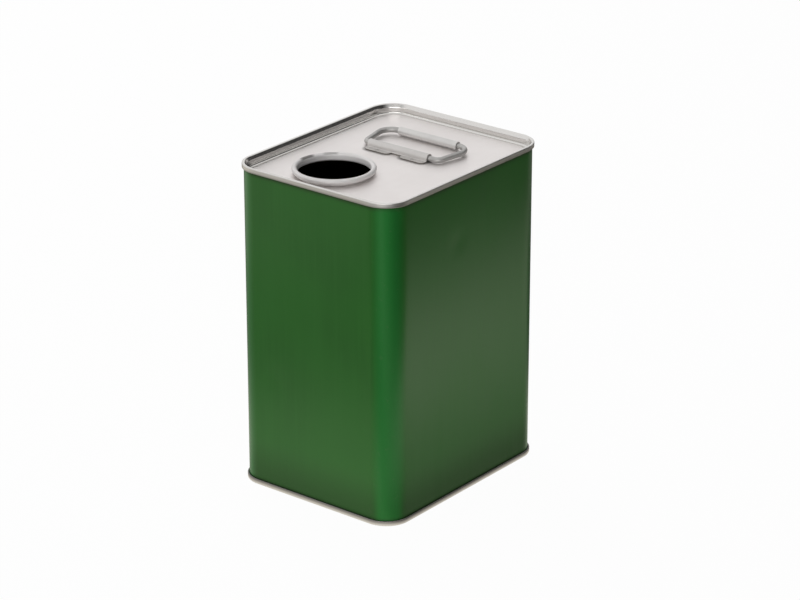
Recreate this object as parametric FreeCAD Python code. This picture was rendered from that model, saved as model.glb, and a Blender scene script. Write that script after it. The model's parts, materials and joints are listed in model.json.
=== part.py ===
import FreeCAD, Part
import math
import os

# Rectangular tin for about three litres of oil: a lacquered sleeve, two seamed-on ends,
# an open pouring mouth in the lid and a folding wire handle in a welded clip.
# Millimetres, +Z up. The origin is the middle of the base, on the plane that the tin stands on.
# X runs across the narrow face, Y along the wide one, and the mouth lies towards -Y.

# Body
BODY_WIDTH = 116
BODY_DEPTH = 143.5
TIN_HEIGHT = 200.0
CORNER_RADIUS = 15
WALL_SHEET = 0.3
WELD_WIDTH = 1.0
WELD_RISE = 0.12
WELD_END_GAP = 0.6

# Ends and their double seams
END_SHEET = 0.32
SEAM_HEIGHT = 3.1
SEAM_PLAY = 0.06  # between the folded layers
SEAM_SHOULDER = 0.6  # outside radius of the crest's two edges
HOOK_PLAY = 0.3  # from a hook's edge to the fold that it points at
COMPOUND_THICKNESS = 0.18
PANEL_DEPTH = 5.5  # from the seam's crest to the panel's face
PANEL_STEP = 0.7  # from the panel's face down to the floor of the groove round it
PANEL_STEP_TURN = 60.0  # degrees
GROOVE_FLOOR = 1.0
GROOVE_RADIUS = 1.2
WALL_TAPER = 20.0  # degrees, of the top of the sunk wall where the seaming tool opened it
WALL_TAPER_RUN = 1.8
WALL_TAPER_BEND = 1.0  # to the middle of the sheet

# Pouring mouth in the lid
MOUTH_DIAMETER = 43.0
MOUTH_FROM_FRONT = 34.3
MOUTH_FROM_MIDDLE = 10.7
COLLAR_HEIGHT = 4.6
COLLAR_ROOT_RADIUS = 0.8
CURL_RADIUS = 1.4  # to the middle of the sheet
CURL_TURN = 290.0  # degrees

# Handle
HANDLE_FROM_MIDDLE = 12.0  # pivot axis behind the tin's middle
HANDLE_ASIDE = 2.0  # clip's middle beside the tin's middle, towards -X
WIRE_DIAMETER = 3.4
PIVOT_PLAY = 0.3
LEG_LENGTH = 26.0  # pivot axis to grip axis
LEG_SPLAY = 11.0  # degrees, outwards from the pivot
PIVOT_BEND = 4.0  # to the middle of the wire
GRIP_BEND = 8.0
WIRE_END_GAP = 1.0  # where the two ends of the wire meet inside the clip
SHORT_SIDE_GAP = 0.5  # clip's end to the bend, on the side that the handle has slid away from
LONG_SIDE_GAP = 3.5
GRIP_DIAMETER = 5.0
GRIP_SHEET = 0.5
GRIP_SLIT = 0.8
GRIP_END_GAP = 1.0
GRIP_REST_GAP = 0.3  # above the panel

# Clip that holds the handle
CLIP_SHEET = 0.7
CLIP_LENGTH = 44.0
CLIP_FOOT = 3.4  # flat of each foot
CLIP_FOOT_RADIUS = 0.5
LOBE_LENGTH = 18.0
LOBE_RADIUS = 3.0
SPOT_DIAMETER = 2.2
SPOT_DEPTH = 0.15

OVERRUN = 1.0  # how far a cutting shape passes what it cuts

# Places of the seam's layers, outwards from the sleeve's outside, to the middle of each sheet
CHUCK_WALL = -WALL_SHEET - SEAM_PLAY - END_SHEET / 2
BODY_WALL = -WALL_SHEET / 2
END_HOOK = SEAM_PLAY + END_SHEET / 2
BODY_HOOK = END_SHEET + 2 * SEAM_PLAY + WALL_SHEET / 2
SEAM_WALL = END_SHEET + WALL_SHEET + 3 * SEAM_PLAY + END_SHEET / 2

# Folds of the seam, to the middle of each sheet, and their heights below the crest
BODY_FOLD = (BODY_HOOK - BODY_WALL) / 2
END_FOLD = (SEAM_WALL - END_HOOK) / 2
SHOULDER = SEAM_SHOULDER - END_SHEET / 2
BODY_FOLD_DEPTH = END_SHEET + COMPOUND_THICKNESS + WALL_SHEET / 2 + BODY_FOLD
END_FOLD_DEPTH = SEAM_HEIGHT - END_SHEET / 2 - END_FOLD
HOOK_OVERLAP = END_FOLD_DEPTH - BODY_FOLD_DEPTH

# Places worked out from the sizes above
PANEL_Z = TIN_HEIGHT - PANEL_DEPTH
MOUTH_X = -MOUTH_FROM_MIDDLE
MOUTH_Y = MOUTH_FROM_FRONT - BODY_DEPTH / 2
WIRE_RADIUS = WIRE_DIAMETER / 2
PIVOT_Z = PANEL_Z + WIRE_RADIUS + PIVOT_PLAY
HANDLE_X = -HANDLE_ASIDE
HANDLE_Y = HANDLE_FROM_MIDDLE
GRIP_Z = PANEL_Z + GRIP_DIAMETER / 2 + GRIP_REST_GAP
HANDLE_TILT = math.degrees(math.asin((GRIP_Z - PIVOT_Z) / LEG_LENGTH))
TUNNEL_RADIUS = WIRE_RADIUS + PIVOT_PLAY
CLIP_WALL = TUNNEL_RADIUS + CLIP_SHEET / 2
CLIP_FOOT_BEND = CLIP_FOOT_RADIUS + CLIP_SHEET / 2
FOOT_ROOT = CLIP_WALL + CLIP_FOOT_BEND
CLIP_REACH = FOOT_ROOT + CLIP_FOOT

Vector = FreeCAD.Vector
ORIGIN = Vector(0, 0, 0)
X_AXIS = Vector(1, 0, 0)
Y_AXIS = Vector(0, 1, 0)
Z_AXIS = Vector(0, 0, 1)


class BentPath:
    """A line of straight runs and tangent bends in a (u, v) plane, as a bending machine makes it."""

    def __init__(self, u, v, heading):
        self.u = u
        self.v = v
        self.heading = math.radians(heading)
        self.pieces = []

    def run(self, length):
        """Goes straight on."""
        self.pieces.append((self.u, self.v, self.heading, length, None, 0.0))
        self.u += length * math.cos(self.heading)
        self.v += length * math.sin(self.heading)
        return self

    def bend(self, radius, degrees):
        """Turns on an arc, to the left for positive degrees."""
        turn = math.radians(degrees)
        side = math.copysign(radius, turn)
        self.pieces.append((self.u, self.v, self.heading, None, side, turn))
        self.u += side * (math.sin(self.heading + turn) - math.sin(self.heading))
        self.v += side * (math.cos(self.heading) - math.cos(self.heading + turn))
        self.heading += turn
        return self

    def edges(self, place, offset=0.0):
        """The path's edges, moved by offset to its left; place turns (u, v) into a point in space."""
        made = []
        for u, v, heading, length, side, turn in self.pieces:
            start_u = u - offset * math.sin(heading)
            start_v = v + offset * math.cos(heading)
            start = place(start_u, start_v)
            if side is None:
                end = place(start_u + length * math.cos(heading), start_v + length * math.sin(heading))
                made.append(Part.LineSegment(start, end).toShape())
                continue
            points = [start]
            for share in (1 / 2, 1):
                ahead = heading + share * turn
                arc_u = start_u + (side - offset) * (math.sin(ahead) - math.sin(heading))
                arc_v = start_v + (side - offset) * (math.cos(heading) - math.cos(ahead))
                points.append(place(arc_u, arc_v))
            made.append(Part.Arc(*points).toShape())
        return made

    def sheet(self, thickness, place):
        """The section of a sheet with this path along its middle."""
        left = self.edges(place, thickness / 2)
        right = self.edges(place, -thickness / 2)
        start_cap = Part.LineSegment(right[0].firstVertex(True).Point, left[0].firstVertex(True).Point)
        end_cap = Part.LineSegment(left[-1].lastVertex(True).Point, right[-1].lastVertex(True).Point)
        outline = [start_cap.toShape()] + left + [end_cap.toShape()] + right[::-1]
        return Part.Face(Part.Wire(Part.__sortEdges__(outline)))


def one_solid(shape):
    """The only solid of a shape that has been fused or cut."""
    solids = shape.removeSplitter().Solids
    if len(solids) != 1:
        raise ValueError("expected one solid, found %d" % len(solids))
    return solids[0]


def on_side_wall(out, z):
    """A point of a section that stands on the +X wall, at the start of its straight run."""
    return Vector(BODY_WIDTH / 2 + out, CORNER_RADIUS - BODY_DEPTH / 2, z)


def carried_round(section):
    """Takes a section on the +X wall all the way round the body."""
    run_x = BODY_WIDTH - 2 * CORNER_RADIUS
    run_y = BODY_DEPTH - 2 * CORNER_RADIUS
    first_corner = Vector(run_x / 2, run_y / 2, 0)
    second_corner = Vector(-run_x / 2, run_y / 2, 0)
    at_corner = section.translated(Y_AXIS * run_y)
    on_back = at_corner.rotated(first_corner, Z_AXIS, 90)
    half = [
        section.extrude(Y_AXIS * run_y),
        at_corner.revolve(first_corner, Z_AXIS, 90),
        on_back.extrude(X_AXIS * -run_x),
        on_back.translated(X_AXIS * -run_x).revolve(second_corner, Z_AXIS, 90),
    ]
    other_half = [piece.rotated(ORIGIN, Z_AXIS, 180) for piece in half]
    return one_solid(half[0].fuse(half[1:] + other_half))


def rounded_prism(middle, width, depth, radius, height):
    """A block with four rounded upright corners, its foot centred on middle."""
    path = BentPath(radius - width / 2, -depth / 2, 0)
    for length in (width, depth, width, depth):
        path.run(length - 2 * radius)
        path.bend(radius, 90)
    outline = path.edges(lambda u, v: middle + Vector(u, v, 0))
    return Part.Face(Part.Wire(outline)).extrude(Z_AXIS * height)


def make_body_sleeve():
    """The wrapped sheet, flanged into a hook at each end, with its side weld on the back face."""
    tip_z = BODY_FOLD_DEPTH + HOOK_OVERLAP - HOOK_PLAY
    section = BentPath(BODY_HOOK, tip_z, -90)
    section.run(tip_z - BODY_FOLD_DEPTH)
    section.bend(BODY_FOLD, -180)
    section.run(TIN_HEIGHT - 2 * BODY_FOLD_DEPTH)
    section.bend(BODY_FOLD, -180)
    section.run(tip_z - BODY_FOLD_DEPTH)
    sleeve = carried_round(section.sheet(WALL_SHEET, on_side_wall))
    weld_foot = SEAM_HEIGHT + WELD_END_GAP
    weld_corner = Vector(-WELD_WIDTH / 2, BODY_DEPTH / 2 - WALL_SHEET, weld_foot)
    weld = Part.makeBox(WELD_WIDTH, WALL_SHEET + WELD_RISE, TIN_HEIGHT - 2 * weld_foot, weld_corner)
    return one_solid(sleeve.fuse(weld))


def make_end():
    """An end as the lid has it, still without a mouth: panel, groove, chuck wall and seam."""
    crest = TIN_HEIGHT - END_SHEET / 2
    step_radius = PANEL_STEP / (2 - 2 * math.cos(math.radians(PANEL_STEP_TURN)))
    step_width = 2 * step_radius * math.sin(math.radians(PANEL_STEP_TURN))
    groove_bend = GROOVE_RADIUS + END_SHEET / 2
    taper = math.radians(WALL_TAPER)
    taper_width = WALL_TAPER_RUN * math.sin(taper) + WALL_TAPER_BEND * (1 - math.cos(taper))
    sunk_wall = CHUCK_WALL + SHOULDER * (1 - math.cos(taper)) - taper_width
    taper_rise = WALL_TAPER_RUN * math.cos(taper) + WALL_TAPER_BEND * math.sin(taper)
    taper_start = crest - SHOULDER * (1 - math.sin(taper)) - taper_rise
    panel_edge = sunk_wall - groove_bend - GROOVE_FLOOR - step_width
    section = BentPath(panel_edge, PANEL_Z - END_SHEET / 2, 0)
    section.bend(step_radius, -PANEL_STEP_TURN)
    section.bend(step_radius, PANEL_STEP_TURN)
    section.run(GROOVE_FLOOR)
    section.bend(groove_bend, 90)
    section.run(taper_start - section.v)
    section.bend(WALL_TAPER_BEND, -WALL_TAPER)
    section.run(WALL_TAPER_RUN)
    section.bend(SHOULDER, WALL_TAPER - 90)
    section.run(SEAM_WALL - CHUCK_WALL - 2 * SHOULDER)
    section.bend(SHOULDER, -90)
    section.run(END_FOLD_DEPTH - END_SHEET / 2 - SHOULDER)
    section.bend(END_FOLD, -180)
    section.run(HOOK_OVERLAP - HOOK_PLAY)
    rim = carried_round(section.sheet(END_SHEET, on_side_wall))
    panel = rounded_prism(
        Vector(0, 0, PANEL_Z - END_SHEET),
        BODY_WIDTH + 2 * panel_edge,
        BODY_DEPTH + 2 * panel_edge,
        CORNER_RADIUS + panel_edge,
        END_SHEET,
    )
    return one_solid(rim.fuse(panel))


def make_top_end(end):
    """The lid: the mouth is drawn up through the panel into a collar and curled outwards."""
    wall = (MOUTH_DIAMETER + END_SHEET) / 2
    root_bend = COLLAR_ROOT_RADIUS + END_SHEET / 2
    root = wall + root_bend
    collar_top = PANEL_Z + COLLAR_HEIGHT
    section = BentPath(root, PANEL_Z - END_SHEET / 2, 180)
    section.bend(root_bend, -90)
    section.run(collar_top - END_SHEET / 2 - CURL_RADIUS - section.v)
    section.bend(CURL_RADIUS, -CURL_TURN)
    axis = Vector(MOUTH_X, MOUTH_Y, 0)
    collar_section = section.sheet(END_SHEET, lambda r, z: axis + Vector(r, 0, z))
    collar = collar_section.revolve(axis, Z_AXIS, 360)
    hole = Part.makeCylinder(root, END_SHEET + 2 * OVERRUN, axis + Z_AXIS * (PANEL_Z - END_SHEET - OVERRUN))
    return one_solid(end.cut(hole).fuse(collar))


def make_bottom_end(end):
    """The bottom is the plain end turned over."""
    return end.mirror(Z_AXIS * (TIN_HEIGHT / 2), Z_AXIS)


def make_top_seam_compound():
    """The sealing ring between the crest of the lid's seam and the sleeve's fold."""
    section = BentPath(CHUCK_WALL + SHOULDER, TIN_HEIGHT - END_SHEET - COMPOUND_THICKNESS / 2, 0)
    section.run(SEAM_WALL - CHUCK_WALL - 2 * SHOULDER)
    return carried_round(section.sheet(COMPOUND_THICKNESS, on_side_wall))


def make_bottom_seam_compound(top_compound):
    """The same ring in the bottom seam."""
    return top_compound.mirror(Z_AXIS * (TIN_HEIGHT / 2), Z_AXIS)


def make_handle_clip():
    """A stamped strip with a tunnel for the wire and two lobed feet on each side, spot-welded down."""
    section = BentPath(-CLIP_REACH, CLIP_SHEET / 2, 0)
    section.run(CLIP_FOOT)
    section.bend(CLIP_FOOT_BEND, 90)
    rise = PIVOT_Z - PANEL_Z - section.v
    section.run(rise)
    section.bend(CLIP_WALL, -180)
    section.run(rise)
    section.bend(CLIP_FOOT_BEND, 90)
    section.run(CLIP_FOOT)
    middle = Vector(HANDLE_X, HANDLE_Y, PANEL_Z)
    strip_section = section.sheet(CLIP_SHEET, lambda u, v: middle + Vector(-CLIP_LENGTH / 2, u, v))
    strip = strip_section.extrude(X_AXIS * CLIP_LENGTH)
    height = PIVOT_Z - PANEL_Z + CLIP_WALL + CLIP_SHEET
    tunnel_corner = middle - Vector(CLIP_LENGTH / 2, FOOT_ROOT, 0)
    outline = Part.makeBox(CLIP_LENGTH, 2 * FOOT_ROOT, height, tunnel_corner)
    spots = []
    for side in (-1, 1):
        lobe_middle = middle + X_AXIS * (side * (CLIP_LENGTH - LOBE_LENGTH) / 2)
        outline = outline.fuse(rounded_prism(lobe_middle, LOBE_LENGTH, 2 * CLIP_REACH, LOBE_RADIUS, height))
        for edge in (-1, 1):
            spot_foot = lobe_middle + Vector(0, edge * (CLIP_REACH - CLIP_FOOT / 2), CLIP_SHEET - SPOT_DEPTH)
            spots.append(Part.makeCylinder(SPOT_DIAMETER / 2, SPOT_DEPTH + OVERRUN, spot_foot))
    return one_solid(strip.common(outline).cut(spots))


def laid_down(shape):
    """Takes a piece of the handle from its own flat frame to where it rests on the lid."""
    tilted = shape.rotated(ORIGIN, X_AXIS, HANDLE_TILT)
    return tilted.translated(Vector(HANDLE_X, HANDLE_Y, PIVOT_Z))


def bend_reach(radius, degrees):
    """How far a bend starts before the corner that it rounds."""
    return radius * math.tan(math.radians(degrees) / 2)


PIVOT_RUN_LEFT = -CLIP_LENGTH / 2 - SHORT_SIDE_GAP
PIVOT_RUN_RIGHT = CLIP_LENGTH / 2 + LONG_SIDE_GAP
PIVOT_REACH = bend_reach(PIVOT_BEND, 90 - LEG_SPLAY)
GRIP_REACH = bend_reach(GRIP_BEND, 90 + LEG_SPLAY)


def grip_run():
    """The left and right ends of the straight run under the grip."""
    spread = PIVOT_REACH + LEG_LENGTH * math.tan(math.radians(LEG_SPLAY)) - GRIP_REACH
    return PIVOT_RUN_LEFT - spread, PIVOT_RUN_RIGHT + spread


def make_handle_bail():
    """The wire loop: its two ends meet inside the clip, and its legs splay out to the grip."""
    grip_left, grip_right = grip_run()
    leg = LEG_LENGTH / math.cos(math.radians(LEG_SPLAY)) - PIVOT_REACH - GRIP_REACH
    path = BentPath(-WIRE_END_GAP / 2, 0, 180)
    path.run(-WIRE_END_GAP / 2 - PIVOT_RUN_LEFT)
    path.bend(PIVOT_BEND, LEG_SPLAY - 90)
    path.run(leg)
    path.bend(GRIP_BEND, -90 - LEG_SPLAY)
    path.run(grip_right - grip_left)
    path.bend(GRIP_BEND, -90 - LEG_SPLAY)
    path.run(leg)
    path.bend(PIVOT_BEND, LEG_SPLAY - 90)
    path.run(PIVOT_RUN_RIGHT - WIRE_END_GAP / 2)
    line = Part.Wire(path.edges(lambda u, v: Vector(u, v, 0)))
    circle = Part.Wire(Part.Circle(X_AXIS * (-WIRE_END_GAP / 2), X_AXIS, WIRE_RADIUS).toShape())
    return laid_down(line.makePipeShell([circle], True, False))


def make_handle_grip():
    """A strip of sheet rolled round the far bar, with its open slit underneath."""
    left, right = grip_run()
    start = Vector(left + GRIP_END_GAP, LEG_LENGTH, 0)
    length = right - left - 2 * GRIP_END_GAP
    tube = Part.makeCylinder(GRIP_DIAMETER / 2, length, start, X_AXIS)
    bore = Part.makeCylinder(GRIP_DIAMETER / 2 - GRIP_SHEET, length, start, X_AXIS)
    slit_corner = start - Vector(0, GRIP_SLIT / 2, GRIP_DIAMETER / 2 + OVERRUN)
    slit = Part.makeBox(length, GRIP_SLIT, GRIP_DIAMETER / 2 + OVERRUN, slit_corner)
    return laid_down(one_solid(tube.cut([bore, slit])))


plain_end = make_end()
top_compound = make_top_seam_compound()
nodes = {
    "body_sleeve": make_body_sleeve(),
    "top_end": make_top_end(plain_end),
    "bottom_end": make_bottom_end(plain_end),
    "top_seam_compound": top_compound,
    "bottom_seam_compound": make_bottom_seam_compound(top_compound),
    "handle_clip": make_handle_clip(),
    "handle_bail": make_handle_bail(),
    "handle_grip": make_handle_grip(),
}
os.makedirs("parts", exist_ok=True)
for name, shape in nodes.items():
    shape.exportStep("parts/%s.step" % name)
    print("%-22s %10.1f mm3  valid %s" % (name, shape.Volume, shape.isValid()))
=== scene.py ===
import json
import math

import bmesh
import bpy
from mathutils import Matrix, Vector, noise


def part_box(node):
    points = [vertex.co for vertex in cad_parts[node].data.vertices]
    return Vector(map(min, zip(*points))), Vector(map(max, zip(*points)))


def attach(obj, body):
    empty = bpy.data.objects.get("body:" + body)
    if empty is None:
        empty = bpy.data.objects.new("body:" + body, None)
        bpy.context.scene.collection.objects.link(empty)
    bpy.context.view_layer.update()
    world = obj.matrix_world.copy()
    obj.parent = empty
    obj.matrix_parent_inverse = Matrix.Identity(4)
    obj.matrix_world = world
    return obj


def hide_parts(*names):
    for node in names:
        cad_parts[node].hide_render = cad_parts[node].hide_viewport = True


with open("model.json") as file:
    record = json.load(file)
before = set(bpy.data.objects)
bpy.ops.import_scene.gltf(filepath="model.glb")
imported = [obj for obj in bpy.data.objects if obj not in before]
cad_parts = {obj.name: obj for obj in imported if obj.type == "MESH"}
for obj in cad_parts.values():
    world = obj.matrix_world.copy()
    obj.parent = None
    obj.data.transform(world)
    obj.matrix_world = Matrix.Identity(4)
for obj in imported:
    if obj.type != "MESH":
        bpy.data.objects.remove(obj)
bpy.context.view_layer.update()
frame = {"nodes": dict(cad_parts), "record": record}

# A lacquered oil tin. Metres and degrees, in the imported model's frame:
# the base is on z = 0, the mouth lies towards -Y, and the photograph looks from -Y and +X.

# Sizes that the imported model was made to
BODY_WIDTH = 0.116
BODY_DEPTH = 0.1435
CORNER_RADIUS = 0.015
WALL_SHEET = 0.0003
END_SHEET = 0.00032
SEAM_HEIGHT = 0.0031
PANEL_DEPTH = 0.0055
FOLD_DEPTH = 0.00102  # the body hook's fold below the seam's crest, at the middle of its arc
HOOK_OUT = 0.00059  # the body hook's sheet outside the wall's outside
HOOK_LENGTH = 0.00125
WELD_WIDTH = 0.001
WELD_RISE = 0.00012
WELD_END_GAP = 0.0006
CLIP_SHEET = 0.0007
LOBE_LENGTH = 0.018
LOBE_RADIUS = 0.003
CURL_REACH = 0.0031  # from the bore to the outside of the rolled collar
TIN_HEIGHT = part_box("top_end")[1].z
PANEL_Z = TIN_HEIGHT - PANEL_DEPTH
CLIP_LOW, CLIP_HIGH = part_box("handle_clip")
MOUTH = next(mount for mount in frame["record"]["mounts"] if mount["name"] == "mouth")
MOUTH_RADIUS = MOUTH["dims"]["r_mm"] / 1000

# Sleeve mesh
RUN_STEP = 0.003
ROW_STEP = RUN_STEP * 1.15
CORNER_STEPS = 14
FOLD_STEPS = 6
SEAM_FADE = 0.014  # the sheet is held straight this near to a seam
CORNER_FADE = 0.012
WAVE_SIZE = 0.045
WAVE_DEPTH = 0.00007
PANEL_BOWS = {"front": 0.00035, "right": -0.0003, "back": 0.0002, "left": 0.0003}
DINGS = (
    # face, share along it from its start, share up it, radius, depth
    ("front", 0.17, 0.36, 0.008, 0.00022),
    ("right", 0.72, 0.24, 0.009, 0.0003),
    ("right", 0.42, 0.80, 0.006, 0.00015),
    ("back", 0.30, 0.55, 0.010, 0.0003),
    ("left", 0.60, 0.32, 0.008, 0.00025),
)

# Colours
LACQUER_DEEP = (0.0130, 0.124, 0.0110, 1)
LACQUER_LIGHT = (0.0155, 0.140, 0.0125, 1)
LACQUER_STREAK = (0.0215, 0.154, 0.0175, 1)
# A lighter, bluer green painted on the rounded corners as a highlight
LACQUER_CORNER_HIGHLIGHT = (0.0140, 0.172, 0.0270, 1)
LACQUER_RUBBED = (0.055, 0.17, 0.05, 1)
# Painted shade under the top seam and above the bottom seam
LACQUER_SHADE = (0.024, 0.040, 0.018, 1)
BARE_STRIPE = (0.60, 0.59, 0.57, 1)
WELD_BURN = (0.20, 0.19, 0.19, 1)
# Inner lacquer darkened past its golden colour, as painted shade inside the tin
INNER_DEEP = (0.045, 0.034, 0.018, 1)
INNER_LIGHT = (0.060, 0.045, 0.022, 1)
PANEL_BRIGHT = (0.885, 0.848, 0.835, 1)
PANEL_DULL = (0.845, 0.806, 0.792, 1)
RIM_BRIGHT = (0.68, 0.665, 0.645, 1)
COLLAR_PALE = (0.88, 0.855, 0.845, 1)
CLIP_BRIGHT = (0.70, 0.675, 0.655, 1)
CLIP_DULL = (0.64, 0.62, 0.60, 1)
GRIP_BRIGHT = (0.75, 0.735, 0.715, 1)
GRIP_DULL = (0.69, 0.675, 0.66, 1)
WIRE_BRIGHT = (0.50, 0.49, 0.475, 1)
WIRE_DULL = (0.40, 0.39, 0.38, 1)
# A near black painted as shade, shadow and dark reflections on the metal parts
PAINTED_DARK = (0.06, 0.052, 0.045, 1)
SHEARED_EDGE_AND_SHADOW = (0.24, 0.22, 0.20, 1)
COMPOUND_DEEP = (0.32, 0.30, 0.26, 1)
COMPOUND_LIGHT = (0.42, 0.40, 0.35, 1)
WHITE = (1, 1, 1, 1)
FLOOR_GREY = (0.62, 0.62, 0.62, 1)
FLOOR_SHEEN = (1.0, 0.95, 0.84, 1)

# Noise patterns: scale, detail, roughness
LACQUER_CLOUD = (16, 3, 0.5)
LACQUER_FILM = (420, 3, 0.6)
LACQUER_PEEL = (1500, 2, 0.5)
LACQUER_FLECKS = (260, 4, 0.7)
SHADE_EDGE = (500, 3, 0.5)
STRIPE_EDGE = (300, 2, 0.5)
INNER_CLOUD = (30, 3, 0.5)
INNER_GRAIN = (700, 2, 0.5)
END_CLOUD = (28, 3, 0.5)
ROLLED_GRAIN = (1900, 3, 0.6)
SMUDGE = (75, 4, 0.6)
FOOT_SHADOW_EDGE = (420, 3, 0.5)
PRESSED_CLOUD = (90, 3, 0.5)
WIRE_CLOUD = (120, 3, 0.5)
WIRE_GRAIN = (2600, 2, 0.6)
COMPOUND_SPECK = (2200, 3, 0.5)

# How a pattern is drawn out, along x, y and z
UPRIGHT_LINES = (1, 1, 0.03)
ROLLED_LINES = (1, 0.02, 1)
DRAWN_LINES = (0.08, 0.25, 1)

# Bumps: distance, strength
PEEL_BUMP = (0.00004, 0.35)
FILM_BUMP = (0.00003, 0.3)
INNER_BUMP = (0.00003, 0.3)
ROLLED_BUMP = (0.00003, 0.2)
DRAWN_BUMP = (0.00004, 0.3)
SPECK_BUMP = (0.00005, 0.4)
RIM_BUMP_SHARE = 0.3

# Ranges of a noise value that a change runs over
WIDE = (0.3, 0.7)
UPPER = (0.35, 0.7)
MIDDLE = (0.35, 0.65)

# Lacquer finish. A band is start, end, share at the start, share at the end.
STREAKS = (0.35, 0.75, 0, 0.5)
FLECKS = (0.60, 0.70, 0, 0.3)
FOOT_WEAR = (0.006, 0.02, 1, 0)  # by height
BEND_FADE = 0.5 * CORNER_RADIUS
RAGGED = 0.0008  # how far the edge of a painted shade wanders
SEAM_SHADE_BAND = (SEAM_HEIGHT + 0.0006, SEAM_HEIGHT + 0.0036, 0.75, 0)  # by distance from the tin's end
BASE_SHADE_BAND = (SEAM_HEIGHT, SEAM_HEIGHT + 0.032, 0.5, 0)  # by height
BEND_SEAM_SHADE_SHARE = 0.5
BEND_BASE_SHADE_SHARE = 0.3
STRIPE_WANDER = 0.0006
STRIPE = (0.0042, 0.0045, 1, 0)  # by distance from the weld
STRIPE_FACE = (BODY_DEPTH / 2 - 0.003, BODY_DEPTH / 2 - 0.0015)
BURNT = (0.0006, 0.0012, 1, 0)  # by distance from the weld
LACQUER_METALLIC = 0.6
LACQUER_ROUGHNESS = (0.48, 0.54)
FILM_ROUGHNESS = (-0.03, 0.05)
LACQUER_SPECULAR = 0.2
COAT_BY_SEAM_SHADE = (0, 0.8, 0.55, 0.2)
COAT_BY_HEIGHT = (0.004, 0.030, 0.45, 1.0)
COAT_ROUGHNESS = 0.24
INNER_METALLIC = 0.7
INNER_ROUGHNESS = (0.4, 0.5)

# Finish of the ends, by distance outside the body's outline where nothing else is said
RIM = (-0.0052, -0.0042)
SEAM_OUTSIDE = (-0.0002, 0.0004)
GRAIN_COLOUR = (0.35, 0.7, 0, 0.35)
# Painted shade on each seam's outside, along its edge next to the wall
LID_LEDGE = (0.0, 0.0016, 0.5, 0)  # by distance from the seam's edge on the wall
BASE_LEDGE = (0.0, 0.0030, 0.8, 0)
PANEL_METALLIC = 0.8
PANEL_ROUGHNESS = (0.42, 0.50)
RIM_ROUGHNESS = (0.13, 0.18)
SEAM_ROUGHNESS = (0.40, 0.48)
END_GRAIN_ROUGHNESS = (-0.02, 0.03)
COLLAR_EDGE = (MOUTH_RADIUS + CURL_REACH, MOUTH_RADIUS + CURL_REACH + 0.0004, 1, 0)  # by radius
COLLAR_FOOT = (PANEL_Z + 0.0002, PANEL_Z + 0.0008)  # by height
COLLAR_CREST = (PANEL_Z + 0.0034, PANEL_Z + 0.0040)  # by height
COLLAR_METALLIC = 0.35
COLLAR_ROUGHNESS = (0.50, 0.58)
# Painted dark reflections on the collar's far lip
COLLAR_DARK_REFLECTIONS = (
    # turn from +X, half width, darkness
    (175, 13, 0.75),
    (135, 11, 0.4),
)
REFLECTION_FADE = (0.6, 1.3)  # in half widths
BORE = (MOUTH_RADIUS + 0.0003, MOUTH_RADIUS + 0.0007, 1, 0)  # by radius
BORE_ROUGHNESS = 0.6
# Painted shadow on the lid round the clip's feet
FOOT_SHADOW_BAND = (0.0010, 0.0030, 0.55, 0)  # by distance from the clip
FOOT_SHADOW_HEIGHT = (PANEL_Z + 0.0003, PANEL_Z + 0.0005, 1, 0)
PAINTED_DARK_ROUGHNESS = 0.2
OILY_FACING = (0.2, 0.4)
OILY_DEPTH = (0.0, 0.0001)
OILY_REACH = (-0.0010, -0.0008, 1, 0)

# Finish of the clip, the grip, the wire and the compound
TIGHT_CORNER = 0.002
CORNER_SAMPLES = 6
CORNER_SHADE = (0.15, 0.6, 1, 0)  # by how open the place is
SMUDGED_SHADE = (0.2, 0.6, 0.5, 1.0)
UPRIGHT_FACING = (0.3, 0.7, 1, 0)
SHEARED_HEIGHT = (PANEL_Z + CLIP_SHEET, PANEL_Z + CLIP_SHEET + 0.0001, 1, 0)
PRESSED_METALLIC = 0.55
SMUDGE_ROUGHNESS = 0.1
GRAIN_ROUGHNESS = (-0.03, 0.04)
CLIP_ROUGHNESS = 0.36
CLIP_SHADE_SHARE = 0.7
GRIP_ROUGHNESS = 0.30
GRIP_SHADE_SHARE = 0.2
WIRE_METALLIC = 0.7
WIRE_ROUGHNESS = (0.40, 0.50)
COMPOUND_ROUGHNESS = (0.6, 0.75)

# Camera
VIEW_AZIMUTH = 38.53
VIEW_PITCH = 22.30
VIEW_DISTANCE = 1.87923
VIEW_SIDE = 0.00622
VIEW_RISE = 0.00584
FOCAL_PIXELS = 3165
FRAME_PIXELS = 800
SENSOR_WIDTH = 36

# The floor, and its brightness in reflections: start, end, level at the start, level at the end
FLOOR_SIZE = 12.0
FLOOR_SHADOW_SHARE = 0.03
SHEEN_RISE = (0.30, 0.42, 0.37, 0.80)  # by distance from the tin
SHEEN_CLOSE = (0.01, 0.04, 0.08, 0.0)
SHEEN_NEAR = (0.07, 0.20, 0.50, 0.0)
SHEEN_NEAR_RIGHT = (0.058, 0.066, 1, 0.25)  # by x
SHEEN_PATCH_START = (0.08, 0.21, 0, 0.80)
SHEEN_PATCH_END = (0.25, 0.33, 1, 0)
SHEEN_FAR_RIGHT = (0.24, 0.33, 1, 0.05)
SHEEN_BACK = (0.06, 0.09, 1, 0)  # by y
SHEEN_BACK_LEFT = (-0.10, -0.04, 0.3, 1)  # by place along a line from the back left
SHEEN_FORWARD = (0.15, 0.26, 1, 0.35)  # by place towards the photograph's camera

# The world and the lamps
WORLD_LEVEL = 0.49
DARK_SIDE = (0.25, 0.75, 1.0, 0.06)  # by how far a direction points to the photograph's right
QUIET_FRONT = (0.3, 0.8, 1.0, 0.55)  # by how far it points to the photograph's camera
CEILING = (0.52, 0.68)  # by how far it points up
LAMPS = (
    # name, place, aim, width, height, power, beam angle, shows in reflections
    ("key", (0.76, -1.41, 0.40), (0, 0, 0.1), 1.8, 0.5, 5.6, 120, True),
    ("back", (-1.3, 0.55, 0.8), (0, 0, 0.1), 0.8, 0.8, 3.2, 120, False),
)


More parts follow.
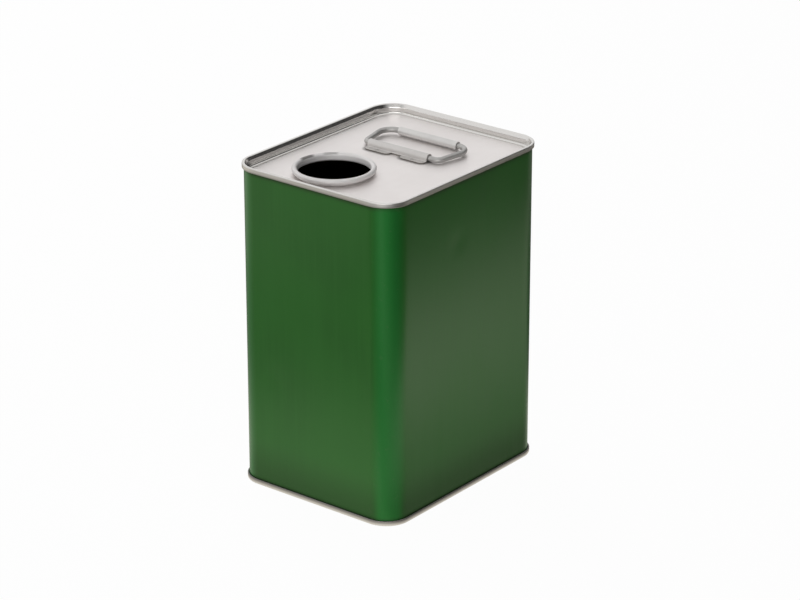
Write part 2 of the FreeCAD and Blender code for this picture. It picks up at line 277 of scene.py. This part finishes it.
class Nodes:
    """Adds shader nodes to a material or a world, and links them as they come."""

    def __init__(self, owner):
        owner.use_nodes = True
        self.tree = owner.node_tree
        self.tree.nodes.clear()

    def add(self, kind, inputs, output=0, **settings):
        node = self.tree.nodes.new("ShaderNode" + kind)
        for name, value in settings.items():
            setattr(node, name, value)
        for key, value in inputs.items():
            if isinstance(value, bpy.types.NodeSocket):
                self.tree.links.new(value, node.inputs[key])
            else:
                node.inputs[key].default_value = value
        return node.outputs[output] if node.outputs else None

    def place(self):
        return self.add("TexCoord", {}, "Object")

    def facing_up(self):
        return self.axes(self.add("NewGeometry", {}, "True Normal"))[2]

    def axes(self, vector):
        split = self.tree.nodes.new("ShaderNodeSeparateXYZ")
        self.tree.links.new(vector, split.inputs[0])
        return split.outputs

    def scaled(self, vector, scale):
        return self.add("VectorMath", {0: vector, 1: scale}, operation="MULTIPLY")

    def along(self, vector, direction):
        """How far a vector goes in a direction."""
        inputs = {0: vector, 1: direction}
        return self.add("VectorMath", inputs, "Value", operation="DOT_PRODUCT")

    def math(self, operation, first, second=0.0):
        return self.add("Math", {0: first, 1: second}, operation=operation)

    def plus(self, first, second):
        return self.math("ADD", first, second)

    def minus(self, first, second):
        return self.math("SUBTRACT", first, second)

    def noise(self, vector, scale, detail, roughness):
        inputs = {"Vector": vector, "Scale": scale, "Detail": detail, "Roughness": roughness}
        return self.add("TexNoise", inputs)

    def band(self, value, start, end, low=0.0, high=1.0):
        """Goes smoothly from low at start to high at end."""
        inputs = {"Value": value, "From Min": start, "From Max": end, "To Min": low, "To Max": high}
        return self.add("MapRange", inputs, interpolation_type="SMOOTHSTEP")

    def both(self, first, *others):
        for other in others:
            first = self.math("MULTIPLY", first, other)
        return first

    def blend(self, share, first, second):
        """A number that goes from first to second."""
        inputs = {0: share, 2: first, 3: second}
        return self.add("Mix", inputs, 0, data_type="FLOAT")

    def mix(self, share, first, second):
        """A colour that goes from first to second."""
        return self.add("Mix", {0: share, 6: first, 7: second}, 2, data_type="RGBA")

    def radius(self, x, y):
        square = self.plus(self.math("MULTIPLY", x, x), self.math("MULTIPLY", y, y))
        return self.math("SQRT", square)

    def outline(self, x, y, half_x, half_y, corner):
        """The distance outside a rounded rectangle about the origin, below zero inside it."""
        over_x = self.minus(self.math("ABSOLUTE", x), half_x - corner)
        over_y = self.minus(self.math("ABSOLUTE", y), half_y - corner)
        outer = self.radius(self.math("MAXIMUM", over_x), self.math("MAXIMUM", over_y))
        inner = self.math("MINIMUM", self.math("MAXIMUM", over_x, over_y))
        return self.minus(self.plus(outer, inner), corner)

    def body_outline(self, x, y):
        return self.outline(x, y, BODY_WIDTH / 2, BODY_DEPTH / 2, CORNER_RADIUS)

    def bump(self, height, distance, strength, normal=None):
        inputs = {"Height": height, "Distance": distance, "Strength": strength}
        if normal is not None:
            inputs["Normal"] = normal
        return self.add("Bump", inputs)

    def surface(self, inputs):
        shader = self.add("BsdfPrincipled", inputs)
        self.add("OutputMaterial", {"Surface": shader})


def new_material(name):
    material = bpy.data.materials.new(name)
    return material, Nodes(material)


def green_lacquer():
    """Translucent green lacquer over tinplate, left off along the side weld."""
    material, n = new_material("green_lacquer")
    place = n.place()
    x, y, z = n.axes(place)
    cloud = n.noise(place, *LACQUER_CLOUD)
    film = n.noise(n.scaled(place, UPRIGHT_LINES), *LACQUER_FILM)
    peel = n.noise(place, *LACQUER_PEEL)
    colour = n.mix(n.band(cloud, *WIDE), LACQUER_DEEP, LACQUER_LIGHT)
    colour = n.mix(n.band(film, *STREAKS), colour, LACQUER_STREAK)

    # A painted highlight round the corners, and small rubbed places there and near the base
    half_x = BODY_WIDTH / 2
    half_y = BODY_DEPTH / 2
    bend = n.both(
        n.band(n.math("ABSOLUTE", x), half_x - CORNER_RADIUS, half_x - BEND_FADE),
        n.band(n.math("ABSOLUTE", y), half_y - CORNER_RADIUS, half_y - BEND_FADE),
    )
    colour = n.mix(bend, colour, LACQUER_CORNER_HIGHLIGHT)
    exposed = n.math("MAXIMUM", bend, n.band(z, *FOOT_WEAR))
    flecks = n.band(n.noise(place, *LACQUER_FLECKS), *FLECKS)
    colour = n.mix(n.both(exposed, flecks), colour, LACQUER_RUBBED)

    # Painted shade in the corner that each seam makes with the wall, and more painted shade fading up
    # from the base
    from_end = n.math("MINIMUM", z, n.minus(TIN_HEIGHT, z))
    ragged = n.plus(from_end, n.math("MULTIPLY", n.noise(place, *SHADE_EDGE), RAGGED))
    seam_shade = n.both(n.band(ragged, *SEAM_SHADE_BAND), n.band(bend, 0, 1, 1, BEND_SEAM_SHADE_SHARE))
    base_shade = n.both(n.band(z, *BASE_SHADE_BAND), n.band(bend, 0, 1, 1, BEND_BASE_SHADE_SHARE))
    colour = n.mix(n.math("MAXIMUM", seam_shade, base_shade), colour, LACQUER_SHADE)

    # The bare stripe along the weld
    wander = n.math("MULTIPLY", n.noise(place, *STRIPE_EDGE), STRIPE_WANDER)
    aside = n.plus(n.math("ABSOLUTE", x), wander)
    bare = n.both(n.band(aside, *STRIPE), n.band(y, *STRIPE_FACE))
    burnt = n.both(n.band(aside, *BURNT), bare)
    colour = n.mix(bare, colour, n.mix(burnt, BARE_STRIPE, WELD_BURN))

    roughness = n.plus(
        n.band(cloud, *WIDE, *LACQUER_ROUGHNESS),
        n.band(film, *WIDE, *FILM_ROUGHNESS),
    )
    normal = n.bump(peel, *PEEL_BUMP)
    normal = n.bump(film, *FILM_BUMP, normal)
    n.surface(
        {
            "Base Color": colour,
            "Metallic": n.band(bare, 0, 1, LACQUER_METALLIC, 1.0),
            "Roughness": roughness,
            "Specular IOR Level": LACQUER_SPECULAR,
            "Coat Weight": n.both(n.band(seam_shade, *COAT_BY_SEAM_SHADE), n.band(z, *COAT_BY_HEIGHT)),
            "Coat Roughness": COAT_ROUGHNESS,
            "Normal": normal,
        }
    )
    return material


def inner_lacquer():
    """The thin golden lacquer that the oil touches, painted darker than its own colour as shade
    inside the tin.
    """
    material, n = new_material("inner_lacquer")
    place = n.place()
    cloud = n.noise(place, *INNER_CLOUD)
    grain = n.noise(n.scaled(place, UPRIGHT_LINES), *INNER_GRAIN)
    n.surface(
        {
            "Base Color": n.mix(n.band(cloud, *WIDE), INNER_DEEP, INNER_LIGHT),
            "Metallic": INNER_METALLIC,
            "Roughness": n.band(cloud, *WIDE, *INNER_ROUGHNESS),
            "Normal": n.bump(grain, *INNER_BUMP),
        }
    )
    return material


def dress_mouth(n, axes, smudge, colour, metallic, roughness):
    """The pale rolled collar of the mouth, with painted dark reflections on its far lip."""
    x, y, z = axes
    mouth_x, mouth_y = MOUTH["pos_m"][:2]
    off_x = n.minus(x, mouth_x)
    off_y = n.minus(y, mouth_y)
    from_axis = n.radius(off_x, off_y)
    collar = n.both(n.band(from_axis, *COLLAR_EDGE), n.band(z, *COLLAR_FOOT))
    bore = n.both(collar, n.band(from_axis, *BORE))
    colour = n.mix(collar, colour, COLLAR_PALE)
    metallic = n.blend(collar, metallic, COLLAR_METALLIC)
    roughness = n.blend(collar, roughness, n.band(smudge, *UPPER, *COLLAR_ROUGHNESS))
    roughness = n.blend(bore, roughness, BORE_ROUGHNESS)
    turn = n.math("ARCTAN2", off_y, off_x)
    crest = n.both(collar, n.band(z, *COLLAR_CREST))
    for angle, half, share in COLLAR_DARK_REFLECTIONS:
        off = n.math("PINGPONG", n.minus(turn, math.radians(angle)), math.pi)
        fade = [math.radians(half * reach) for reach in REFLECTION_FADE]
        colour = n.mix(n.both(crest, n.band(off, *fade, share, 0)), colour, PAINTED_DARK)
    return colour, metallic, roughness


def clip_foot_shadow(n, place, axes):
    """The share of painted shadow on the lid round the two feet of the clip."""
    x, y, z = axes
    half_x = (CLIP_HIGH.x - CLIP_LOW.x) / 2
    half_y = (CLIP_HIGH.y - CLIP_LOW.y) / 2
    beside = n.math("ABSOLUTE", n.minus(x, (CLIP_LOW.x + CLIP_HIGH.x) / 2))
    foot_x = n.minus(beside, half_x - LOBE_LENGTH / 2)
    foot_y = n.minus(y, (CLIP_LOW.y + CLIP_HIGH.y) / 2)
    from_clip = n.outline(foot_x, foot_y, LOBE_LENGTH / 2, half_y, LOBE_RADIUS)
    ragged = n.plus(from_clip, n.math("MULTIPLY", n.noise(place, *FOOT_SHADOW_EDGE), RAGGED))
    return n.both(n.band(ragged, *FOOT_SHADOW_BAND), n.band(z, *FOOT_SHADOW_HEIGHT))


def tinplate_end(name, is_lid):
    """A tin's end: matt rolled panel, burnished seam and wall, golden lacquer where the oil is.
    The lid has the mouth and the clip."""
    material, n = new_material(name)
    place = n.place()
    axes = n.axes(place)
    x, y, z = axes
    cloud = n.noise(place, *END_CLOUD)
    grain = n.noise(n.scaled(place, ROLLED_LINES), *ROLLED_GRAIN)
    smudge = n.noise(place, *SMUDGE)
    around = n.body_outline(x, y)
    rim = n.band(around, *RIM)
    outside = n.band(around, *SEAM_OUTSIDE)

    colour = n.mix(n.band(cloud, *WIDE), PANEL_BRIGHT, PANEL_DULL)
    colour = n.mix(n.band(grain, *GRAIN_COLOUR), colour, PANEL_DULL)
    colour = n.mix(rim, colour, RIM_BRIGHT)
    # Painted shade on each seam's outside, along its edge next to the wall
    if is_lid:
        ledge = n.band(n.minus(z, TIN_HEIGHT - SEAM_HEIGHT), *LID_LEDGE)
    else:
        ledge = n.band(n.minus(SEAM_HEIGHT, z), *BASE_LEDGE)
    colour = n.mix(n.both(outside, ledge), colour, PAINTED_DARK)
    metallic = n.band(rim, 0, 1, PANEL_METALLIC, 1.0)
    matt = n.band(smudge, *UPPER, *PANEL_ROUGHNESS)
    roughness = n.blend(rim, matt, n.band(smudge, *UPPER, *RIM_ROUGHNESS))
    roughness = n.blend(outside, roughness, n.band(smudge, *UPPER, *SEAM_ROUGHNESS))
    roughness = n.plus(roughness, n.band(grain, *WIDE, *END_GRAIN_ROUGHNESS))

    if is_lid:
        colour, metallic, roughness = dress_mouth(n, axes, smudge, colour, metallic, roughness)
        # Painted shadow round the clip's feet
        foot_shadow = clip_foot_shadow(n, place, axes)
        colour = n.mix(foot_shadow, colour, PAINTED_DARK)
        roughness = n.plus(roughness, n.math("MULTIPLY", foot_shadow, PAINTED_DARK_ROUGHNESS))

    # The oil's side of the panel faces down on the lid and up on the base
    inward = -1 if is_lid else 1
    sheet_middle = PANEL_Z - END_SHEET / 2 if is_lid else PANEL_DEPTH + END_SHEET / 2
    oily = n.both(
        n.band(n.math("MULTIPLY", n.facing_up(), inward), *OILY_FACING),
        n.band(n.math("MULTIPLY", n.minus(z, sheet_middle), inward), *OILY_DEPTH),
        n.band(around, *OILY_REACH),
    )
    height = n.both(grain, n.band(rim, 0, 1, 1.0, RIM_BUMP_SHARE))
    n.surface(
        {
            "Base Color": n.mix(oily, colour, INNER_LIGHT),
            "Metallic": metallic,
            "Roughness": roughness,
            "Normal": n.bump(height, *ROLLED_BUMP),
        }
    )
    return material


def pressed_steel(name, bright, dull, smooth, shade_share, sheared):
    """Rolled and pressed sheet with painted shade in its tight corners.
    A sheared piece has dark edges where it was cut to size, darkened further as painted shadow under
    its feet."""
    material, n = new_material(name)
    place = n.place()
    cloud = n.noise(place, *PRESSED_CLOUD)
    grain = n.noise(n.scaled(place, ROLLED_LINES), *ROLLED_GRAIN)
    smudge = n.noise(place, *SMUDGE)
    corner = {"Distance": TIGHT_CORNER}
    # Painted shade where ambient occlusion finds a tight corner
    open_air = n.add("AmbientOcclusion", corner, "AO", samples=CORNER_SAMPLES)
    corner_shade = n.both(n.band(open_air, *CORNER_SHADE), n.band(smudge, *SMUDGED_SHADE))
    colour = n.mix(n.band(cloud, *WIDE), bright, dull)
    colour = n.mix(n.band(grain, *GRAIN_COLOUR), colour, dull)
    colour = n.mix(n.math("MULTIPLY", corner_shade, shade_share), colour, PAINTED_DARK)
    # Dark cut edges, also a painted shadow along the feet's low edges
    if sheared:
        upright = n.band(n.math("ABSOLUTE", n.facing_up()), *UPRIGHT_FACING)
        low = n.band(n.axes(place)[2], *SHEARED_HEIGHT)
        colour = n.mix(n.both(upright, low), colour, SHEARED_EDGE_AND_SHADOW)
    roughness = n.plus(
        n.band(smudge, *UPPER, smooth, smooth + SMUDGE_ROUGHNESS),
        n.band(grain, *WIDE, *GRAIN_ROUGHNESS),
    )
    n.surface(
        {
            "Base Color": colour,
            "Metallic": PRESSED_METALLIC,
            "Roughness": n.plus(roughness, n.math("MULTIPLY", corner_shade, PAINTED_DARK_ROUGHNESS)),
            "Normal": n.bump(grain, *ROLLED_BUMP),
        }
    )
    return material


def wire_steel():
    """Dull galvanised wire, with the fine lines of drawing along it."""
    material, n = new_material("wire_steel")
    place = n.place()
    cloud = n.noise(place, *WIRE_CLOUD)
    grain = n.noise(n.scaled(place, DRAWN_LINES), *WIRE_GRAIN)
    roughness = n.plus(
        n.band(cloud, *WIDE, *WIRE_ROUGHNESS),
        n.band(grain, *WIDE, *GRAIN_ROUGHNESS),
    )
    n.surface(
        {
            "Base Color": n.mix(n.band(cloud, *WIDE), WIRE_BRIGHT, WIRE_DULL),
            "Metallic": WIRE_METALLIC,
            "Roughness": roughness,
            "Normal": n.bump(grain, *DRAWN_BUMP),
        }
    )
    return material


def sealing_compound():
    """Grey rubbery compound, out of sight in the seams."""
    material, n = new_material("sealing_compound")
    speck = n.noise(n.place(), *COMPOUND_SPECK)
    n.surface(
        {
            "Base Color": n.mix(n.band(speck, *MIDDLE), COMPOUND_DEEP, COMPOUND_LIGHT),
            "Roughness": n.band(speck, *WIDE, *COMPOUND_ROUGHNESS),
            "Normal": n.bump(speck, *SPECK_BUMP),
        }
    )
    return material


def ring():
    """Goes round the body's outside: point, outward normal, face name or None, share along it."""
    half_x = BODY_WIDTH / 2
    half_y = BODY_DEPTH / 2
    run_x = half_x - CORNER_RADIUS
    run_y = half_y - CORNER_RADIUS
    faces = (
        # name, start, end, centre of the corner after it
        ("front", (-run_x, -half_y), (run_x, -half_y), (run_x, -run_y)),
        ("right", (half_x, -run_y), (half_x, run_y), (run_x, run_y)),
        ("back", (run_x, half_y), (-run_x, half_y), (-run_x, run_y)),
        ("left", (-half_x, run_y), (-half_x, -run_y), (-run_x, -run_y)),
    )
    made = []
    for name, start, end, corner in faces:
        start = Vector(start)
        end = Vector(end)
        length = (end - start).length
        out = Vector((end.y - start.y, start.x - end.x)).normalized()
        steps = round(length / RUN_STEP)
        places = [k / steps * length for k in range(steps + 1)]
        if name == "back":
            for half in (WELD_WIDTH / 2, WELD_WIDTH / 2 - WELD_RISE):
                places += [length / 2 - half, length / 2 + half]
            places.sort()
        for along in places:
            made.append((start + (end - start) * (along / length), out, name, along / length))
        turn = math.atan2(out.y, out.x)
        for k in range(1, CORNER_STEPS):
            angle = turn + k / CORNER_STEPS * math.pi / 2
            normal = Vector((math.cos(angle), math.sin(angle)))
            made.append((Vector(corner) + normal * CORNER_RADIUS, normal, None, 0.0))
    return made


def sleeve_profile():
    """The sheet's middle line from hook to hook: outwards, z, its left side, whether on the wall."""
    radius = (HOOK_OUT + WALL_SHEET / 2) / 2
    middle = HOOK_OUT - radius
    low = FOLD_DEPTH
    high = TIN_HEIGHT - low

    def fold_point(z, angle, up):
        across = math.cos(angle)
        rise = up * math.sin(angle)
        return middle + radius * across, z + radius * rise, (across, rise), False

    points = [(HOOK_OUT, low + HOOK_LENGTH, (1, 0), False)]
    for k in range(FOLD_STEPS + 1):
        points.append(fold_point(low, math.pi * k / FOLD_STEPS, -1))
    rows = round((TIN_HEIGHT - 2 * low) / ROW_STEP)
    for k in range(1, rows):
        z = low + (TIN_HEIGHT - 2 * low) * k / rows
        points.append((-WALL_SHEET / 2, z, (-1, 0), True))
    for k in range(FOLD_STEPS + 1):
        points.append(fold_point(high, math.pi * (1 - k / FOLD_STEPS), 1))
    points.append((HOOK_OUT, high - HOOK_LENGTH, (1, 0), False))
    return points


def smooth_step(value, start, end):
    share = min(max((value - start) / (end - start), 0.0), 1.0)
    return share * share * (3 - 2 * share)


def swell(point, name, share, z):
    """How far the sheet stands out from flat at a place on a face."""
    if name is None:
        return 0.0
    length = (BODY_WIDTH if name in ("front", "back") else BODY_DEPTH) - 2 * CORNER_RADIUS
    up = z / TIN_HEIGHT
    held = smooth_step(min(z, TIN_HEIGHT - z), SEAM_HEIGHT, SEAM_HEIGHT + SEAM_FADE)
    held *= smooth_step(min(share, 1 - share) * length, 0.0, CORNER_FADE)
    out = PANEL_BOWS[name] * math.sin(math.pi * share) * math.sin(math.pi * up)
    out += WAVE_DEPTH * noise.noise(Vector((point.x, point.y, z)) / WAVE_SIZE)
    for face, along, height, radius, depth in DINGS:
        if face == name:
            far = math.hypot((share - along) * length, (up - height) * TIN_HEIGHT)
            out -= depth * math.exp(-((far / radius) ** 2))
    return out * held


def weld_rise(point, name, z):
    """How far the weld stands out from the back face."""
    if name != "back" or abs(point.x) > WELD_WIDTH / 2 - WELD_RISE / 2:
        return 0.0
    foot = SEAM_HEIGHT + WELD_END_GAP
    return WELD_RISE if foot < z < TIN_HEIGHT - foot else 0.0


def sleeve_side(shape, loop, profile, left_side):
    """One side of the sheet as rows of points: the oil's where left_side is 1, the outer at -1."""
    rows = []
    for out, z, left, on_wall in profile:
        row = []
        for point, normal, name, share in loop:
            reach = out + left_side * left[0] * WALL_SHEET / 2
            if on_wall:
                reach += swell(point, name, share, z)
                if left_side == -1:
                    reach += weld_rise(point, name, z)
            place = point + normal * reach
            height = z + left_side * left[1] * WALL_SHEET / 2
            row.append(shape.verts.new((place.x, place.y, height)))
        rows.append(row)
    return rows


def add_strip(shape, first, second, flipped):
    """Faces between two rows of points that go round the tin."""
    count = len(first)
    faces = []
    for k in range(count):
        after = (k + 1) % count
        corners = [first[k], first[after], second[after], second[k]]
        faces.append(shape.faces.new(corners[::-1] if flipped else corners))
    return faces


def add_sleeve(outside, inside):
    """The wrapped sheet with its hooks, its side weld, and the slight bow and dings of thin walls."""
    loop = ring()
    profile = sleeve_profile()
    mesh = bpy.data.meshes.new("tin_sleeve")
    shape = bmesh.new()
    inner = sleeve_side(shape, loop, profile, 1)
    outer = sleeve_side(shape, loop, profile, -1)
    for rows, flipped, slot in ((inner, True, 1), (outer, False, 0)):
        for low, high in zip(rows, rows[1:]):
            for face in add_strip(shape, low, high, flipped):
                face.material_index = slot
                face.smooth = True
    add_strip(shape, inner[0], outer[0], False)
    add_strip(shape, inner[-1], outer[-1], True)
    bmesh.ops.recalc_face_normals(shape, faces=shape.faces)
    shape.to_mesh(mesh)
    shape.free()
    mesh.materials.append(outside)
    mesh.materials.append(inside)
    sleeve = bpy.data.objects.new("tin_sleeve", mesh)
    bpy.context.scene.collection.objects.link(sleeve)
    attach(sleeve, "tin")
    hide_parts("body_sleeve")


def finish_node(name, material):
    """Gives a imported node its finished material."""
    slots = frame["nodes"][name].data.materials
    slots.clear()
    slots.append(material)


def view_directions():
    """The photograph's right, and from the tin towards its camera, along the floor."""
    azimuth = math.radians(VIEW_AZIMUTH)
    right = (math.cos(azimuth), math.sin(azimuth), 0)
    front = (math.sin(azimuth), -math.cos(azimuth), 0)
    return right, front


def floor_sheen(n):
    """How bright the floor is in a reflection: it changes with the distance from the tin, and
    fades behind it on the left, to its far right and towards the photograph's camera."""
    place = n.place()
    axes = n.axes(place)
    x = axes[0]
    y = axes[1]
    around = n.body_outline(x, y)
    right, front = view_directions()
    forward = n.along(place, front)
    from_back_left = n.along(place, (right[0], -right[1], 0))
    near = n.plus(n.band(around, *SHEEN_CLOSE), n.band(around, *SHEEN_NEAR))
    near = n.both(near, n.band(x, *SHEEN_NEAR_RIGHT))
    patch = n.both(n.band(x, *SHEEN_PATCH_START), n.band(x, *SHEEN_PATCH_END))
    level = n.plus(n.plus(n.band(around, *SHEEN_RISE), near), patch)
    behind = n.math(
        "MAXIMUM",
        n.band(from_back_left, *SHEEN_BACK_LEFT),
        n.band(y, *SHEEN_BACK),
    )
    return n.both(level, behind, n.band(x, *SHEEN_FAR_RIGHT), n.band(forward, *SHEEN_FORWARD))


def add_floor():
    mesh = bpy.data.meshes.new("floor")
    half = FLOOR_SIZE / 2
    corners = [(-half, -half, 0), (half, -half, 0), (half, half, 0), (-half, half, 0)]
    mesh.from_pydata(corners, [], [(0, 1, 2, 3)])
    floor = bpy.data.objects.new("floor", mesh)
    bpy.context.scene.collection.objects.link(floor)
    material, n = new_material("floor")
    seen = n.add("LightPath", {}, "Is Camera Ray")
    mirrored = n.add("LightPath", {}, "Is Glossy Ray")
    matt = n.add("BsdfDiffuse", {"Color": n.mix(seen, FLOOR_GREY, WHITE)})
    sheen = n.add("Emission", {"Color": FLOOR_SHEEN, "Strength": floor_sheen(n)})
    glow = n.add("Emission", {"Color": WHITE, "Strength": 1.0})
    share = n.math("MULTIPLY", seen, 1 - FLOOR_SHADOW_SHARE)
    unseen = n.add("MixShader", {0: mirrored, 1: matt, 2: sheen})
    n.add("OutputMaterial", {"Surface": n.add("MixShader", {0: share, 1: unseen, 2: glow})})
    mesh.materials.append(material)


def add_world():
    """White to the camera, and to the object a plain level with a dark low side on the right."""
    world = bpy.data.worlds.new("studio")
    bpy.context.scene.world = world
    n = Nodes(world)
    right, front = view_directions()
    direction = n.add("TexCoord", {}, "Generated")
    mirrored = n.add("LightPath", {}, "Is Glossy Ray")
    ceiling = n.both(mirrored, n.band(n.axes(direction)[2], *CEILING))
    side = n.blend(ceiling, n.band(n.along(direction, right), *DARK_SIDE), 1.0)
    level = n.both(side, n.band(n.along(direction, front), *QUIET_FRONT))
    strength = n.math("MULTIPLY", level, n.band(mirrored, 0, 1, WORLD_LEVEL, 1.0))
    lit = n.add("Background", {"Color": WHITE, "Strength": strength})
    seen = n.add("Background", {"Color": WHITE, "Strength": 1.0})
    camera = n.add("LightPath", {}, "Is Camera Ray")
    n.add("OutputWorld", {"Surface": n.add("MixShader", {0: camera, 1: lit, 2: seen})})


def add_lamps():
    for name, place, aim, width, height, power, beam, mirrored in LAMPS:
        lamp = bpy.data.lights.new(name, "AREA")
        lamp.shape = "RECTANGLE"
        lamp.size = width
        lamp.size_y = height
        lamp.energy = power
        lamp.spread = math.radians(beam)
        softbox = bpy.data.objects.new(name, lamp)
        bpy.context.scene.collection.objects.link(softbox)
        softbox.location = place
        softbox.visible_glossy = mirrored
        aimed = (Vector(aim) - Vector(place)).to_track_quat("-Z", "Y")
        softbox.rotation_euler = aimed.to_euler()


def add_camera():
    camera = bpy.data.objects.new("camera", bpy.data.cameras.new("camera"))
    bpy.context.scene.collection.objects.link(camera)
    camera.rotation_euler = (math.radians(90 - VIEW_PITCH), 0, math.radians(VIEW_AZIMUTH))
    offset = Vector((VIEW_SIDE, VIEW_RISE, VIEW_DISTANCE))
    offset = camera.rotation_euler.to_matrix() @ offset
    camera.location = Vector((0, 0, TIN_HEIGHT / 2)) + offset
    camera.data.sensor_width = SENSOR_WIDTH
    camera.data.lens = FOCAL_PIXELS / FRAME_PIXELS * SENSOR_WIDTH
    bpy.context.scene.camera = camera


add_camera()
add_floor()
add_world()
add_lamps()
bpy.context.scene.view_settings.view_transform = "Standard"

add_sleeve(green_lacquer(), inner_lacquer())
finish_node("top_end", tinplate_end("tinplate_lid", True))
finish_node("bottom_end", tinplate_end("tinplate_base", False))
clip = ("clip_steel", CLIP_BRIGHT, CLIP_DULL, CLIP_ROUGHNESS, CLIP_SHADE_SHARE, True)
finish_node("handle_clip", pressed_steel(*clip))
grip = ("grip_tinplate", GRIP_BRIGHT, GRIP_DULL, GRIP_ROUGHNESS, GRIP_SHADE_SHARE, False)
finish_node("handle_grip", pressed_steel(*grip))
finish_node("handle_bail", wire_steel())
compound = sealing_compound()
finish_node("top_seam_compound", compound)
finish_node("bottom_seam_compound", compound)
